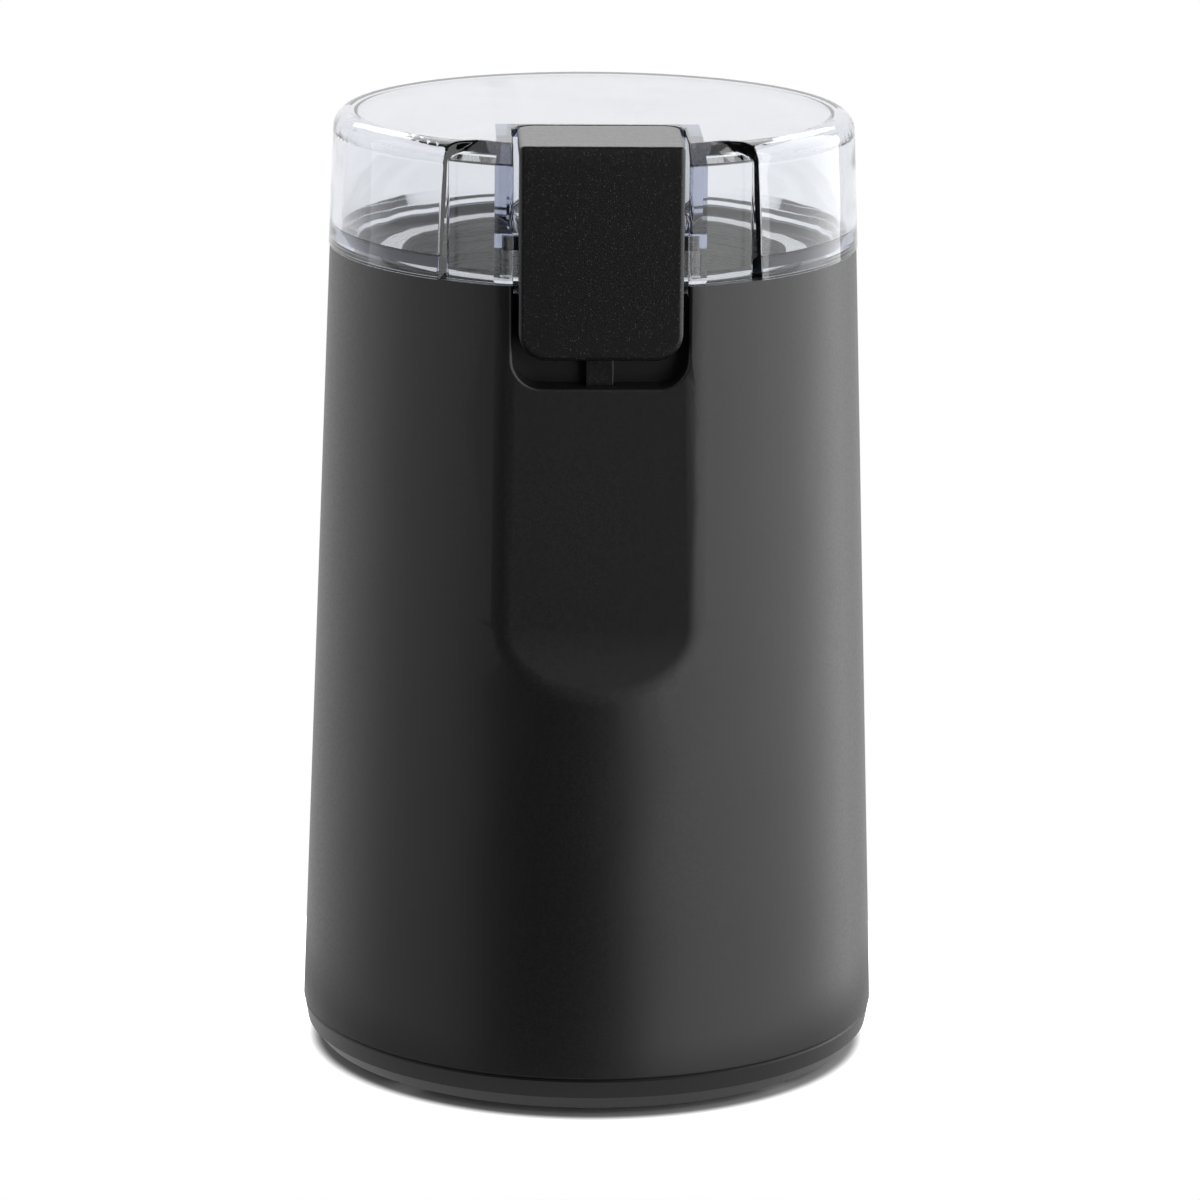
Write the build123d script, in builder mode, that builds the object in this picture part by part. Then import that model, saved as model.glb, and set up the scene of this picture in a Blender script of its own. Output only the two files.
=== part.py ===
from build123d import *
import os
from math import cos, radians, sqrt

# Blade coffee grinder, millimetres, standing on z = 0 with its press key towards -Y.

# Clearances shared by the pieces
cut_overrun = 8.0
slide_gap = 0.3
seat_gap = 0.2
bore_gap = 0.05
fit_gap = 0.02

# Outer shell, a cone that narrows towards the lid
foot_height = 1.5
base_rise = 5.5
shell_height = 129.25
shell_bottom_radius = 48.0
shell_top_radius = 43.3
shell_wall = 2.2
seam_bevel = 0.4

# Finger groove, a flat down the front of the shell that runs out in a hollow curve
groove_depth = 2.75
groove_length = 55.0
groove_end_radius = 22.0
groove_end_angle = 60.0
groove_edge_round = 8.0

# Press key of the lid and the pocket that it hangs into
key_width = 26.0
key_side_gap = 0.85
key_proud = 0.7
key_travel = 4.0
key_pad_depth = 21.5
key_pad_thickness = 2.6
key_pad_corner = 3.0
key_apron_thickness = 2.6
key_apron_height = 34.2
key_apron_corner = 4.4
key_skirt_thickness = 1.8
key_skirt_back_gap = 0.4
key_edge_round = 0.7
key_brow_height = 3.0
key_brow_depth = 0.4
key_gusset_height = 6.0
key_front_inset = 0.1
tongue_width = 4.3
tongue_back_gap = 0.9
lug_height = 2.2
lug_depth = 1.5
lug_reach = 2.1
lug_top_share = 0.34
pocket_depth = 7.3
pocket_height = 16.3
pocket_wall = 1.8
pocket_corner = 4.7
pocket_edge_round = 0.6
ledge_thickness = 2.0

# Clear lid
lid_height = 21.95
lid_overhang = 0.2
lid_top_radius = 42.7
lid_shoulder = 3.0
lid_wall = 2.2
lid_spigot_wall = 1.6
lid_spigot_length = 1.7
lid_rim_height = 2.4
lid_inner_round = 2.0
lid_edge_round = 0.5
panel_depth = 1.6
panel_width_share = 0.593
panel_top_width_share = 0.437
panel_top_depth_share = 0.736
panel_bevel_height = 2.9
panel_bevel_run = 4.5
well_wall = 2.6
well_floor_drop = 14.7
well_floor = 2.0
well_corner = 2.0
well_back_corner = 3.6
well_back_gap = 4.5
window_skin = 0.9

# Bowl carrier under the lid and the steel bowl in it
deck_drop = 2.0
deck_thickness = 2.0
carrier_skirt = 1.3
carrier_floor = 2.5
carrier_pad_height = 1.0
carrier_pad_radius = 11.0
carrier_rib = 1.8
carrier_ledge_drop = 4.0
carrier_ledge = 2.0
carrier_boss_radius = 2.9
bowl_gap = 0.3
bowl_wall = 0.8
bowl_depth = 33.0
bowl_floor_round = 7.0
bowl_flange = 2.6
seal_thickness = 0.5
bush_radius = 5.6
bush_flange_radius = 9.0
bush_flange = 1.6
nut_height = 3.0
nut_across_flats = 15.0
shaft_seal_radius = 6.0
shaft_seal_height = 1.5

# Blade on top of the motor shaft
shaft_radius = 2.5
hub_radius = 7.0
hub_height = 2.5
blade_radius = 26.0
blade_thickness = 1.2
blade_width = 13.0
blade_tip_width = 8.0
blade_bend_share = 0.5
blade_rise = 5.0
cap_nut_radius = 5.5
cap_nut_height = 5.0
shaft_in_nut = 3.0

# Motor
damper_height = 4.0
damper_radius = 5.0
damper_pitch_x = 30.0
damper_pitch_y = 32.0
bracket_width = 42.0
bracket_depth = 44.0
bracket_corner = 7.0
bracket_plate = 3.0
bracket_leg_width = 5.5
bracket_leg_depth = 16.0
upper_leg = 14.0
lower_leg = 18.0
bearing_radius = 5.5
bearing_height = 8.0
bearing_wall = 2.5
stack_height = 24.0
stack_depth = 54.0
stack_corner = 8.0
armature_radius = 14.0
air_gap = 0.4
coil_near = 14.8
coil_depth = 6.0
coil_inner_width = 21.0
coil_bar = 6.5
coil_end = 5.5
coil_gap = 0.2
slot_count = 12
slot_radius = 1.6
slot_mouth = 1.0
winding_gap = 0.1
winding_end = 5.0
winding_inner_radius = 5.5
winding_outer_radius = 12.5
commutator_radius = 8.5
commutator_length = 9.0
commutator_gap = 1.0
commutator_slit = 0.6
commutator_slit_depth = 1.0
brush_size = 5.0
brush_length = 9.0
holder_wall = 1.0
holder_start = 9.6
holder_length = 13.5
holder_pedestal_width = 9.0
brush_spring_wire = 0.5
brush_spring_radius = 1.7
brush_spring_pitch = 1.25
fan_radius = 24.0
fan_disc = 1.2
fan_blade_height = 5.0
fan_blade_thickness = 1.2
fan_blade_start = 9.0
fan_blade_count = 9
fan_hub_radius = 5.5
fan_drop = 2.0
shaft_tail = 2.0
bolt_radius = 1.5
bolt_head_radius = 2.8
bolt_head = 2.2

# Switch behind the groove, worked by the key's tongue
switch_width = 20.0
switch_height = 14.0
switch_thickness = 6.4
switch_screw_spacing = 14.0
switch_clearance = 0.6
switch_pad_radius = 2.6
switch_wall_gap = 1.1
terminal_width = 4.0
terminal_thickness = 0.8
terminal_length = 6.0
terminal_pitch = 10.0
plunger_radius = 1.7
plunger_stem_depth = 3.0
plunger_collar = 1.5
plunger_collar_radius = 2.3
spring_wire = 0.5
spring_length = 9.0
spring_turns = 5

# Base cover, feet and cord gland
base_foot_inset = 2.65
base_chamfer_rise = 2.3
base_chamfer_run = 1.95
base_floor = 2.6
spigot_rise = 5.0
spigot_wall = 1.8
vent_count = 12
vent_length = 16.0
vent_width = 3.0
vent_circle = 21.0
foot_radius = 5.0
foot_recess = 1.5
foot_inset = 8.35
foot_round = 0.6
fastener_count = 4
post_radius = 4.0
post_gap = 2.0
post_length = 21.0
screw_radius = 1.5
screw_head_radius = 3.0
screw_head = 2.2
screw_grip = 9.0
screw_drive = 1.6
small_screw_radius = 1.25
small_screw_head_radius = 2.2
small_screw_head = 1.6
small_screw_grip = 1.8
gland_spigot_gap = 1.5
gland_bore = 3.3
gland_wall = 2.2
gland_flange = 2.0
gland_flange_reach = 2.0
gland_pad = 1.6

# Heights worked out from the sizes above
seam_z = foot_height + base_rise
rim_z = seam_z + shell_height
lid_top_z = rim_z + lid_height
shell_slope = (shell_bottom_radius - shell_top_radius) / shell_height


def shell_radius(height):
    return shell_bottom_radius - (height - seam_z) * shell_slope


def shell_inner_radius(height):
    return shell_radius(height) - shell_wall


def turned_profile(*points):
    with BuildSketch(Plane.XZ) as profile:
        with BuildLine():
            Polyline(*points, close=True)
        make_face()
    return profile.sketch


def ring_profile(inner, outer, low, high):
    return turned_profile((inner, low), (outer, low), (outer, high), (inner, high))


def spring_coil(origin, axis, radius, wire, pitch, height):
    with BuildPart() as coil:
        with BuildLine() as path:
            Helix(pitch=pitch, height=height, radius=radius, center=origin, direction=axis)
        with BuildSketch(Plane(origin=path.line @ 0, z_dir=path.line % 0)):
            Circle(wire / 2)
        sweep(is_frenet=True)
    return coil.part


def write_piece(piece, name):
    piece.label = name
    export_step(piece, f"parts/{name}.step")


os.makedirs("parts", exist_ok=True)

# Places along the front, as distances from the axis towards -Y
pocket_half = key_width / 2 + key_side_gap
pocket_back = shell_top_radius - pocket_depth
pocket_floor_z = rim_z - pocket_height
key_front = shell_top_radius - key_front_inset
key_apron_back = key_front - key_apron_thickness
key_skirt_back = pocket_back + key_skirt_back_gap
key_top_z = lid_top_z + key_proud
key_bottom_z = key_top_z - key_apron_height
tongue_tip_z = pocket_floor_z - ledge_thickness
tongue_front = shell_inner_radius(tongue_tip_z - key_travel) - groove_depth - slide_gap
tongue_back = pocket_back + tongue_back_gap
tongue_y = (tongue_front + tongue_back) / 2

# Heights of the bowl and carrier
deck_z = rim_z - deck_drop
ledge_z = deck_z - carrier_ledge_drop
bowl_rim_z = deck_z + seal_thickness + bowl_wall
bowl_floor_z = bowl_rim_z - bowl_depth
carrier_floor_top_z = bowl_floor_z - bowl_wall - carrier_pad_height
carrier_floor_z = carrier_floor_top_z - carrier_floor

# Switch, below the pocket's ledge, and its plunger behind the groove
plunger_top_z = tongue_tip_z - slide_gap
switch_top_z = carrier_floor_z - switch_clearance
switch_z = switch_top_z - switch_height
collar_z = switch_top_z + spring_length
switch_mid_z = (switch_z + switch_top_z) / 2
switch_front = shell_inner_radius(switch_mid_z) - groove_depth - switch_wall_gap
switch_back = switch_front - switch_thickness
plunger_wall = min(shell_inner_radius(collar_z + plunger_collar), shell_inner_radius(switch_top_z))
plunger_front = plunger_wall - groove_depth
plunger_back = plunger_front - 2 * (plunger_collar_radius + slide_gap)
spring_radius = plunger_collar_radius - spring_wire / 2 - seat_gap
plunger_stem_radius = spring_radius - spring_wire / 2 - 2 * seat_gap

# Bowl and carrier, inside the pocket's back wall and the plunger
carrier_radius = min(pocket_back - pocket_wall - seat_gap, plunger_back)
carrier_inner_radius = carrier_radius - carrier_skirt
bowl_radius = carrier_inner_radius - bowl_gap
bowl_inner_radius = bowl_radius - bowl_wall
plunger_y = (carrier_radius + plunger_front) / 2
carrier_outer_radius = shell_inner_radius(rim_z) - seat_gap
ledge_inner_radius = carrier_outer_radius - carrier_rib
carrier_screw_circle = (carrier_radius + carrier_outer_radius) / 2

# Motor, hung below the carrier
bracket_z = carrier_floor_z - damper_height
upper_plate_z = bracket_z - bracket_plate
stack_top_z = upper_plate_z - upper_leg
stack_z = stack_top_z - stack_height
lower_plate_top_z = stack_z - lower_leg
lower_plate_z = lower_plate_top_z - bracket_plate
lower_bearing_z = lower_plate_top_z - bearing_height
upper_bearing_z = bracket_z - bearing_height
commutator_top_z = stack_z - winding_end - commutator_gap
commutator_z = commutator_top_z - commutator_length
brush_z = (commutator_z + commutator_top_z) / 2
holder_half = brush_size / 2 + holder_wall
bolt_x = bracket_width / 2 - bracket_leg_width / 2
fan_top_z = lower_bearing_z - fan_drop
fan_z = fan_top_z - fan_blade_height - fan_disc
shaft_z = fan_z - shaft_tail

# Blade, above the bush and its seal
bush_top_z = bowl_floor_z + bush_flange
hub_z = bush_top_z + shaft_seal_height + slide_gap
blade_z = hub_z + hub_height
cap_nut_z = blade_z + blade_thickness
shaft_top_z = cap_nut_z + shaft_in_nut

# Base, posts and gland
base_foot_radius = shell_bottom_radius - base_foot_inset
foot_circle_radius = base_foot_radius - foot_inset
spigot_radius = shell_inner_radius(seam_z + spigot_rise) - seat_gap
base_floor_z = foot_height + base_floor
post_z = seam_z + post_gap
post_circle = shell_inner_radius(post_z + post_length) - post_radius + shell_wall / 2
gland_radius = gland_bore + gland_wall
gland_z = seam_z + spigot_rise + gland_spigot_gap + gland_radius + gland_flange_reach
gland_seat_y = shell_inner_radius(gland_z + gland_radius + gland_flange_reach) - gland_pad
gland_face_y = shell_radius(gland_z + gland_radius)

# Outer shell: cone, finger groove, key pocket, ledge for the carrier, posts and pads
groove_foot_z = rim_z - groove_length
groove_head_z = rim_z + cut_overrun
groove_reach = shell_bottom_radius + cut_overrun


def groove_cutter(inset):
    head = (groove_depth + inset - shell_radius(groove_head_z), groove_head_z)
    foot = (groove_depth + inset - shell_radius(groove_foot_z), groove_foot_z)
    with BuildPart() as cutter:
        with BuildSketch(Plane.YZ):
            with BuildLine():
                Line(head, foot)
                hollow = JernArc(foot, (-shell_slope, -1), groove_end_radius + inset, -groove_end_angle)
                Polyline(hollow @ 1, (-groove_reach, (hollow @ 1).Y), (-groove_reach, groove_head_z), head)
            make_face()
        extrude(amount=shell_bottom_radius, both=True)
    return cutter.part


groove_outside = groove_cutter(0)
groove_inside = groove_cutter(shell_wall)
with BuildPart() as shell_cavity:
    revolve(
        turned_profile(
            (0, seam_z - cut_overrun),
            (shell_inner_radius(seam_z - cut_overrun), seam_z - cut_overrun),
            (shell_inner_radius(rim_z + cut_overrun), rim_z + cut_overrun),
            (0, rim_z + cut_overrun),
        ),
        axis=Axis.Z,
    )
    add(groove_inside, mode=Mode.SUBTRACT)
    with BuildSketch(Plane.XZ.offset(pocket_back - pocket_wall)):
        with Locations((0, pocket_floor_z - ledge_thickness)):
            Rectangle(
                2 * (pocket_half + pocket_wall),
                pocket_height + ledge_thickness - deck_drop,
                align=(Align.CENTER, Align.MIN),
            )
    extrude(amount=pocket_depth + cut_overrun, mode=Mode.SUBTRACT)

with BuildPart() as outer_shell:
    revolve(
        turned_profile(
            (0, seam_z),
            (shell_bottom_radius - seam_bevel, seam_z),
            (shell_radius(seam_z + seam_bevel), seam_z + seam_bevel),
            (shell_top_radius, rim_z),
            (0, rim_z),
        ),
        axis=Axis.Z,
    )
    add(groove_outside, mode=Mode.SUBTRACT)
    groove_flat = outer_shell.faces().filter_by(GeomType.PLANE).sort_by(Axis.Y)[0]
    groove_end = outer_shell.faces().filter_by(GeomType.CYLINDER)[0]
    groove_edges = groove_flat.edges() + groove_end.edges()
    fillet(groove_edges.filter_by(Axis.X, reverse=True), radius=groove_edge_round)
    add(shell_cavity.part, mode=Mode.SUBTRACT)
    revolve(
        ring_profile(
            ledge_inner_radius,
            shell_inner_radius(ledge_z) + shell_wall / 2,
            ledge_z - carrier_ledge,
            ledge_z,
        ),
        axis=Axis.Z,
    )
    with BuildSketch(Plane.XY.offset(ledge_z)):
        with PolarLocations(carrier_screw_circle, 3, start_angle=90):
            Circle(carrier_boss_radius)
    extrude(amount=-carrier_ledge)
    with BuildSketch(Plane.XY.offset(ledge_z)):
        with PolarLocations(carrier_screw_circle, 3, start_angle=90):
            Circle(small_screw_radius + bore_gap)
    extrude(amount=-carrier_ledge, mode=Mode.SUBTRACT)
    with BuildSketch(Plane.XZ.offset(pocket_back)):
        with Locations((0, pocket_floor_z)):
            RectangleRounded(
                2 * pocket_half,
                pocket_height + cut_overrun,
                pocket_corner,
                align=(Align.CENTER, Align.MIN),
            )
    extrude(amount=pocket_depth + cut_overrun, mode=Mode.SUBTRACT)
    pocket_mouth = outer_shell.edges().filter_by_position(Axis.Z, pocket_floor_z, rim_z)
    pocket_mouth = pocket_mouth.filter_by_position(Axis.Y, -shell_top_radius, -key_apron_back)
    fillet(pocket_mouth, radius=pocket_edge_round)
    with BuildSketch(Plane.XY.offset(pocket_floor_z + cut_overrun)):
        with Locations((0, -tongue_y)):
            Rectangle(
                tongue_width + 2 * slide_gap,
                tongue_front - tongue_back + 2 * slide_gap,
            )
    extrude(amount=-cut_overrun - 2 * ledge_thickness, mode=Mode.SUBTRACT)
    with BuildSketch(Plane.XZ.offset(switch_front)):
        with Locations((-switch_screw_spacing / 2, switch_mid_z), (switch_screw_spacing / 2, switch_mid_z)):
            Circle(switch_pad_radius)
    extrude(amount=switch_wall_gap + shell_wall / 2)
    with BuildSketch(Plane.XZ.offset(switch_front)):
        with Locations((-switch_screw_spacing / 2, switch_mid_z), (switch_screw_spacing / 2, switch_mid_z)):
            Circle(small_screw_radius + bore_gap)
    extrude(amount=small_screw_grip, mode=Mode.SUBTRACT)
    with BuildSketch(Plane.XY.offset(post_z)):
        with PolarLocations(post_circle, fastener_count, start_angle=45):
            Circle(post_radius)
    extrude(amount=post_length)
    with BuildSketch(Plane.XY.offset(post_z)):
        with PolarLocations(post_circle, fastener_count, start_angle=45):
            Circle(screw_radius + bore_gap)
    extrude(amount=screw_grip + bore_gap, mode=Mode.SUBTRACT)
    with BuildSketch(Plane.XZ.offset(-gland_seat_y)):
        with Locations((0, gland_z)):
            Circle(gland_radius + gland_flange_reach)
    extrude(amount=-gland_pad - shell_wall / 2)
    with BuildSketch(Plane.XZ.offset(-gland_seat_y)):
        with Locations((0, gland_z)):
            Circle(gland_radius + seat_gap)
    extrude(amount=-gland_pad - shell_wall - cut_overrun, mode=Mode.SUBTRACT)
write_piece(outer_shell.part, "outer_shell")

# Base cover: dished floor with vents, a spigot inside the shell and bosses for the screws
with BuildPart() as base_cover:
    revolve(
        turned_profile(
            (0, foot_height),
            (base_foot_radius, foot_height),
            (base_foot_radius + base_chamfer_run, foot_height + base_chamfer_rise),
            (shell_bottom_radius - seam_bevel / 2, seam_z - seam_bevel),
            (shell_bottom_radius - seam_bevel - seam_bevel / 2, seam_z),
            (spigot_radius, seam_z),
            (spigot_radius, seam_z + spigot_rise),
            (spigot_radius - spigot_wall, seam_z + spigot_rise),
            (spigot_radius - spigot_wall, base_floor_z),
            (0, base_floor_z),
        ),
        axis=Axis.Z,
    )
    with BuildSketch(Plane.XY.offset(base_floor_z)):
        with PolarLocations(post_circle, fastener_count, start_angle=45):
            Circle(post_radius + seat_gap)
    extrude(amount=base_rise + spigot_rise + cut_overrun, mode=Mode.SUBTRACT)
    with BuildSketch(Plane.XY.offset(foot_height)):
        with PolarLocations(post_circle, fastener_count, start_angle=45):
            Circle(spigot_radius - post_circle)
    extrude(amount=post_z - foot_height)
    with BuildSketch(Plane.XY.offset(foot_height)):
        with PolarLocations(post_circle, fastener_count, start_angle=45):
            Circle(screw_radius + bore_gap)
    extrude(amount=post_z, mode=Mode.SUBTRACT)
    with BuildSketch(Plane.XY.offset(foot_height)):
        with PolarLocations(post_circle, fastener_count, start_angle=45):
            Circle(screw_head_radius + seat_gap)
    extrude(amount=screw_head + seat_gap, mode=Mode.SUBTRACT)
    with BuildSketch(Plane.XY.offset(foot_height)):
        with PolarLocations(foot_circle_radius, fastener_count):
            Circle(foot_radius + bore_gap)
    extrude(amount=foot_recess, mode=Mode.SUBTRACT)
    with BuildSketch(Plane.XY.offset(foot_height - cut_overrun)):
        with PolarLocations(vent_circle, vent_count, start_angle=15):
            SlotOverall(vent_length, vent_width)
    extrude(amount=base_floor + 2 * cut_overrun, mode=Mode.SUBTRACT)
write_piece(base_cover.part, "base_cover")

with BuildPart() as rubber_feet:
    with BuildSketch():
        with PolarLocations(foot_circle_radius, fastener_count):
            Circle(foot_radius)
    extrude(amount=foot_height + foot_recess)
    fillet(rubber_feet.edges().group_by(Axis.Z)[0], radius=foot_round)
write_piece(rubber_feet.part, "rubber_feet")

with BuildPart() as base_screws:
    with BuildSketch(Plane.XY.offset(foot_height + seat_gap)):
        with PolarLocations(post_circle, fastener_count, start_angle=45):
            Circle(screw_head_radius)
    extrude(amount=screw_head)
    with BuildSketch(Plane.XY.offset(foot_height + seat_gap)):
        with PolarLocations(post_circle, fastener_count, start_angle=45):
            Circle(screw_radius)
    extrude(amount=post_z + screw_grip - foot_height - seat_gap)
    with BuildSketch(Plane.XY.offset(foot_height + seat_gap)):
        with PolarLocations(post_circle, fastener_count, start_angle=45):
            SlotOverall(2 * screw_drive, screw_drive / 2)
            SlotOverall(2 * screw_drive, screw_drive / 2, rotation=90)
    extrude(amount=screw_drive, mode=Mode.SUBTRACT)
write_piece(base_screws.part, "base_screws")

# Cord gland: a bush in the back wall with an open bore
with BuildPart() as cord_gland:
    with BuildSketch(Plane.XZ.offset(-gland_seat_y)):
        with Locations((0, gland_z)):
            Circle(gland_radius)
    extrude(amount=gland_seat_y - gland_face_y)
    with BuildSketch(Plane.XZ.offset(-gland_seat_y)):
        with Locations((0, gland_z)):
            Circle(gland_radius + gland_flange_reach)
    extrude(amount=gland_flange)
    with BuildSketch(Plane.XZ.offset(-gland_face_y)):
        with Locations((0, gland_z)):
            Circle(gland_bore)
    extrude(amount=gland_face_y - gland_seat_y + gland_flange, mode=Mode.SUBTRACT)
write_piece(cord_gland.part, "cord_gland")

# Bowl carrier: deck, cup round the bowl, floor over the motor, notch for the key pocket
with BuildPart() as bowl_carrier:
    revolve(
        ring_profile(carrier_inner_radius, carrier_outer_radius, deck_z - deck_thickness, deck_z),
        axis=Axis.Z,
    )
    revolve(
        ring_profile(ledge_inner_radius, carrier_outer_radius, ledge_z, deck_z),
        axis=Axis.Z,
    )
    with BuildSketch(Plane.XY.offset(ledge_z)):
        with PolarLocations(carrier_screw_circle, 3, start_angle=90):
            Circle(carrier_boss_radius)
    extrude(amount=carrier_ledge_drop)
    with BuildSketch(Plane.XZ.offset(carrier_radius)):
        with Locations((0, ledge_z)):
            Rectangle(
                2 * (pocket_half + pocket_wall + seat_gap),
                2 * (carrier_ledge_drop + cut_overrun),
            )
    extrude(amount=pocket_depth + cut_overrun, mode=Mode.SUBTRACT)
    revolve(
        ring_profile(carrier_inner_radius, carrier_radius, carrier_floor_z, deck_z),
        axis=Axis.Z,
    )
    revolve(
        ring_profile(bush_radius + seat_gap, carrier_radius, carrier_floor_z, carrier_floor_top_z),
        axis=Axis.Z,
    )
    revolve(
        ring_profile(
            bush_radius + seat_gap,
            carrier_pad_radius,
            carrier_floor_z,
            carrier_floor_top_z + carrier_pad_height,
        ),
        axis=Axis.Z,
    )
    with BuildSketch(Plane.XY.offset(ledge_z)):
        with PolarLocations(carrier_screw_circle, 3, start_angle=90):
            Circle(small_screw_radius + bore_gap)
    extrude(amount=small_screw_grip + bore_gap, mode=Mode.SUBTRACT)
    with BuildSketch(Plane.XY.offset(carrier_floor_z)):
        with GridLocations(damper_pitch_x, damper_pitch_y, 2, 2):
            Circle(small_screw_radius + bore_gap)
    extrude(amount=small_screw_grip + bore_gap, mode=Mode.SUBTRACT)
write_piece(bowl_carrier.part, "bowl_carrier")

with BuildPart() as carrier_screws:
    with BuildSketch(Plane.XY.offset(ledge_z - carrier_ledge)):
        with PolarLocations(carrier_screw_circle, 3, start_angle=90):
            Circle(small_screw_head_radius)
    extrude(amount=-small_screw_head)
    with BuildSketch(Plane.XY.offset(ledge_z - carrier_ledge)):
        with PolarLocations(carrier_screw_circle, 3, start_angle=90):
            Circle(small_screw_radius)
    extrude(amount=carrier_ledge + small_screw_grip)
write_piece(carrier_screws.part, "carrier_screws")

# Steel bowl with a turned-out rim, its seal, and the bush that clamps it
with BuildPart() as grinding_bowl:
    with BuildSketch(Plane.XZ):
        with BuildLine():
            Polyline(
                (bush_radius + seat_gap, bowl_floor_z),
                (bush_radius + seat_gap, bowl_floor_z - bowl_wall),
                (bowl_radius - bowl_floor_round, bowl_floor_z - bowl_wall),
            )
            RadiusArc(
                (bowl_radius - bowl_floor_round, bowl_floor_z - bowl_wall),
                (bowl_radius, bowl_floor_z - bowl_wall + bowl_floor_round),
                -bowl_floor_round,
            )
            Polyline(
                (bowl_radius, bowl_floor_z - bowl_wall + bowl_floor_round),
                (bowl_radius, bowl_rim_z - bowl_wall),
                (bowl_radius + bowl_flange, bowl_rim_z - bowl_wall),
                (bowl_radius + bowl_flange, bowl_rim_z),
                (bowl_inner_radius, bowl_rim_z),
                (bowl_inner_radius, bowl_floor_z - bowl_wall + bowl_floor_round),
            )
            RadiusArc(
                (bowl_inner_radius, bowl_floor_z - bowl_wall + bowl_floor_round),
                (bowl_radius - bowl_floor_round, bowl_floor_z),
                bowl_floor_round - bowl_wall,
            )
            Line(
                (bowl_radius - bowl_floor_round, bowl_floor_z),
                (bush_radius + seat_gap, bowl_floor_z),
            )
        make_face()
    revolve(axis=Axis.Z)
write_piece(grinding_bowl.part, "grinding_bowl")

with BuildPart() as bowl_seal:
    revolve(
        ring_profile(carrier_inner_radius, bowl_radius + bowl_flange, deck_z, deck_z + seal_thickness),
        axis=Axis.Z,
    )
write_piece(bowl_seal.part, "bowl_seal")

with BuildPart() as bowl_bush:
    revolve(
        ring_profile(shaft_radius + bore_gap, bush_radius, carrier_floor_z - nut_height, bush_top_z),
        axis=Axis.Z,
    )
    revolve(
        ring_profile(shaft_radius + bore_gap, bush_flange_radius, bowl_floor_z, bush_top_z),
        axis=Axis.Z,
    )
write_piece(bowl_bush.part, "bowl_bush")

with BuildPart() as bush_nut:
    with BuildSketch(Plane.XY.offset(carrier_floor_z)):
        RegularPolygon(nut_across_flats / 2, 6, major_radius=False)
        Circle(bush_radius + bore_gap, mode=Mode.SUBTRACT)
    extrude(amount=-nut_height)
write_piece(bush_nut.part, "bush_nut")

with BuildPart() as shaft_seal:
    revolve(
        ring_profile(
            shaft_radius + slide_gap,
            shaft_seal_radius,
            bush_top_z,
            bush_top_z + shaft_seal_height,
        ),
        axis=Axis.Z,
    )
write_piece(shaft_seal.part, "shaft_seal")

# Rubber dampers and screws that hang the motor from the carrier
with BuildPart() as motor_dampers:
    with BuildSketch(Plane.XY.offset(bracket_z)):
        with GridLocations(damper_pitch_x, damper_pitch_y, 2, 2):
            Circle(damper_radius)
            Circle(small_screw_radius + bore_gap, mode=Mode.SUBTRACT)
    extrude(amount=damper_height)
write_piece(motor_dampers.part, "motor_dampers")

with BuildPart() as damper_screws:
    with BuildSketch(Plane.XY.offset(upper_plate_z)):
        with GridLocations(damper_pitch_x, damper_pitch_y, 2, 2):
            Circle(small_screw_head_radius)
    extrude(amount=-small_screw_head)
    with BuildSketch(Plane.XY.offset(upper_plate_z)):
        with GridLocations(damper_pitch_x, damper_pitch_y, 2, 2):
            Circle(small_screw_radius)
    extrude(amount=bracket_plate + damper_height + small_screw_grip)
write_piece(damper_screws.part, "damper_screws")

# Motor brackets: each a plate with a bearing seat and two legs on the stator
with BuildPart() as upper_bracket:
    with BuildSketch(Plane.XY.offset(upper_plate_z)):
        RectangleRounded(bracket_width, bracket_depth, bracket_corner)
    extrude(amount=bracket_plate)
    with BuildSketch(Plane.XY.offset(upper_plate_z)):
        with Locations((-bolt_x, 0), (bolt_x, 0)):
            Rectangle(bracket_leg_width, bracket_leg_depth)
    extrude(amount=-upper_leg)
    with BuildSketch(Plane.XY.offset(upper_bearing_z)):
        Circle(bearing_radius + bearing_wall)
    extrude(amount=bearing_height)
    with BuildSketch(Plane.XY.offset(upper_bearing_z)):
        Circle(bearing_radius + bore_gap)
    extrude(amount=bearing_height, mode=Mode.SUBTRACT)
    with BuildSketch(Plane.XY.offset(bracket_z)):
        with Locations((-bolt_x, 0), (bolt_x, 0)):
            Circle(bolt_radius + bore_gap)
        with GridLocations(damper_pitch_x, damper_pitch_y, 2, 2):
            Circle(small_screw_radius + bore_gap)
    extrude(amount=-bracket_plate - upper_leg, mode=Mode.SUBTRACT)
write_piece(upper_bracket.part, "upper_bracket")

with BuildPart() as lower_bracket:
    with BuildSketch(Plane.XY.offset(lower_plate_z)):
        RectangleRounded(bracket_width, bracket_depth, bracket_corner)
    extrude(amount=bracket_plate)
    with BuildSketch(Plane.XY.offset(lower_plate_top_z)):
        with Locations((-bolt_x, 0), (bolt_x, 0)):
            Rectangle(bracket_leg_width, bracket_leg_depth)
    extrude(amount=lower_leg)
    with BuildSketch(Plane.XY.offset(lower_plate_top_z)):
        with GridLocations(0, 2 * holder_start + holder_length, 1, 2):
            Rectangle(holder_pedestal_width, holder_length)
    extrude(amount=brush_z - holder_half - lower_plate_top_z)
    with BuildSketch(Plane.XY.offset(lower_bearing_z)):
        Circle(bearing_radius + bearing_wall)
    extrude(amount=bearing_height)
    with BuildSketch(Plane.XY.offset(lower_bearing_z)):
        Circle(bearing_radius + bore_gap)
    extrude(amount=bearing_height, mode=Mode.SUBTRACT)
    with BuildSketch(Plane.XY.offset(lower_plate_z)):
        with Locations((-bolt_x, 0), (bolt_x, 0)):
            Circle(bolt_radius + bore_gap)
    extrude(amount=bracket_plate + lower_leg, mode=Mode.SUBTRACT)
write_piece(lower_bracket.part, "lower_bracket")

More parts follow.
